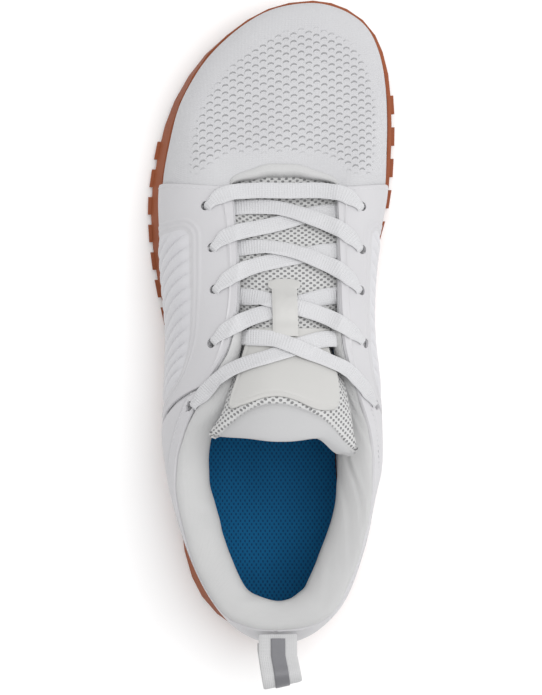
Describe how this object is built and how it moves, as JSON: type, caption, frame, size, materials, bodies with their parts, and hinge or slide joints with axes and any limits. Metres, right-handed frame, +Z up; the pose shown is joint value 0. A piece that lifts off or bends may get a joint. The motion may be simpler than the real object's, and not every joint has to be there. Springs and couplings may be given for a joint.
{
  "type": "barefoot shoe",
  "caption": "Low barefoot sports shoe for the left foot: foot-shaped knit upper with side panels, flat laces, padded collar, heel pull loop and a thin lugged rubber sole.",
  "frame": {"origin": "on the floor under the heel, on the flat face of the middle lug of the tread row a sixth of the way along the sole", "axes": "+Y towards the toe, +X towards the medial side (the big toe), +Z up"},
  "size_m": [0.1104, 0.2944, 0.096],
  "materials": {
    "gum_rubber": "matte moulded gum rubber",
    "insole_cloth": "blue mesh cloth",
    "knit": "white knit",
    "smooth_panel": "smooth white synthetic",
    "ribbed_panel": "moulded ribs, satin",
    "lining": "padded white lining",
    "tongue_mesh": "open white mesh",
    "label": "smooth off-white",
    "lace": "flat woven lace",
    "webbing": "woven tape",
    "reflector": "grey reflective strip"
  },
  "bodies": {
    "root": {"outsole": "gum_rubber", "insole": "insole_cloth", "upper": "knit", "quarter_medial": "smooth_panel", "quarter_lateral": "smooth_panel", "ribs_medial": "ribbed_panel", "ribs_lateral": "ribbed_panel", "heel_panel": "smooth_panel", "throat_hem": "smooth_panel", "collar_lining": "lining", "tongue": "tongue_mesh", "tongue_label": "label", "tongue_keeper": "label", "lace_bar": "lace", "lace_crossing_1": "lace", "lace_crossing_2": "lace", "lace_crossing_3": "lace", "lace_crossing_4": "lace", "pull_loop": "webbing", "loop_stripe": "reflector"}
  },
  "joints": []
}
